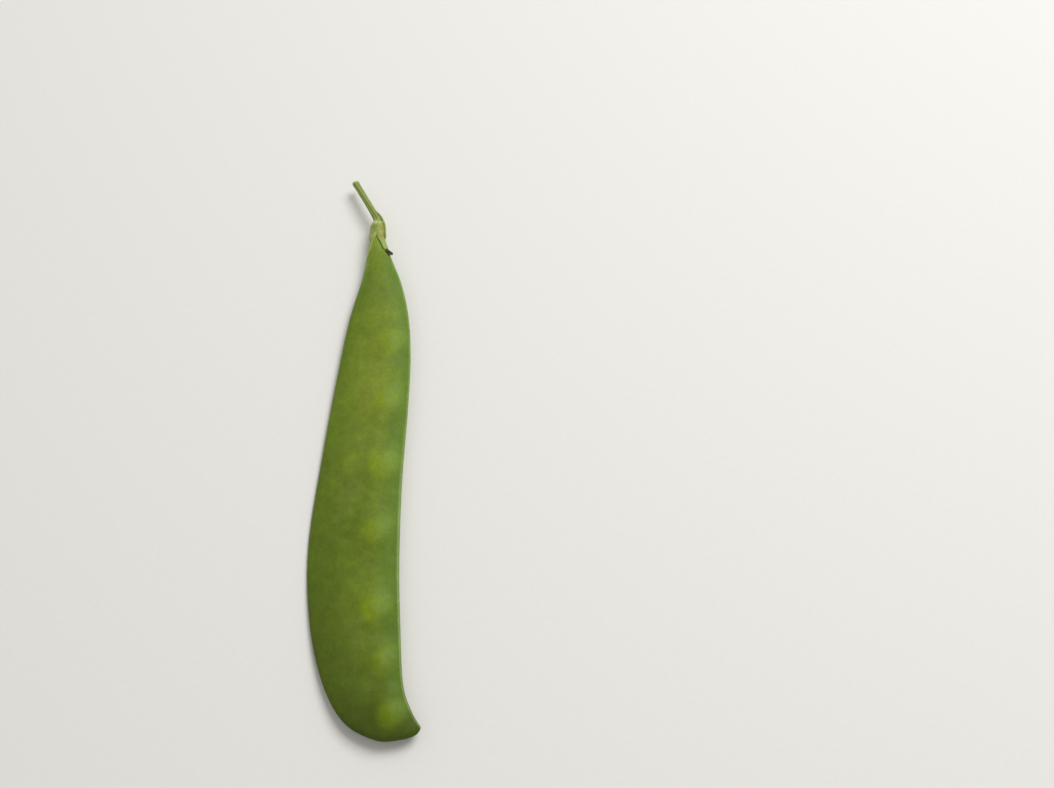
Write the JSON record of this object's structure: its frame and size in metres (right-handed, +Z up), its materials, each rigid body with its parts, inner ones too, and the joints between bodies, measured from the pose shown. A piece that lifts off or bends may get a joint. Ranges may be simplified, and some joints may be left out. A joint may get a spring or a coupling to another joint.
{
  "type": "snow pea pod",
  "caption": "Fresh flat snow pea pod lying on its side, with low pea swellings, a small calyx with sepals and a cut stalk.",
  "frame": {"origin": "on the surface that the pod rests on, under the middle of the whole object's box", "axes": "+Y runs along the pod from the beak to the stalk, +X points to the seed-seam side, +Z is up, across the pod's thin direction"},
  "size_m": [0.024, 0.123, 0.0051],
  "materials": {
    "pod": "waxy green pod skin, satin",
    "calyx": "pale yellow-green leafy calyx, matte",
    "stalk": "ridged green stalk, matte"
  },
  "bodies": {
    "root": {"pod": "pod", "calyx_cup": "calyx", "sepal_drooping": "calyx", "sepal_curled": "calyx", "sepal_side": "calyx", "sepal_under_seed": "calyx", "sepal_under_back": "calyx", "stalk": "stalk"}
  },
  "joints": []
}
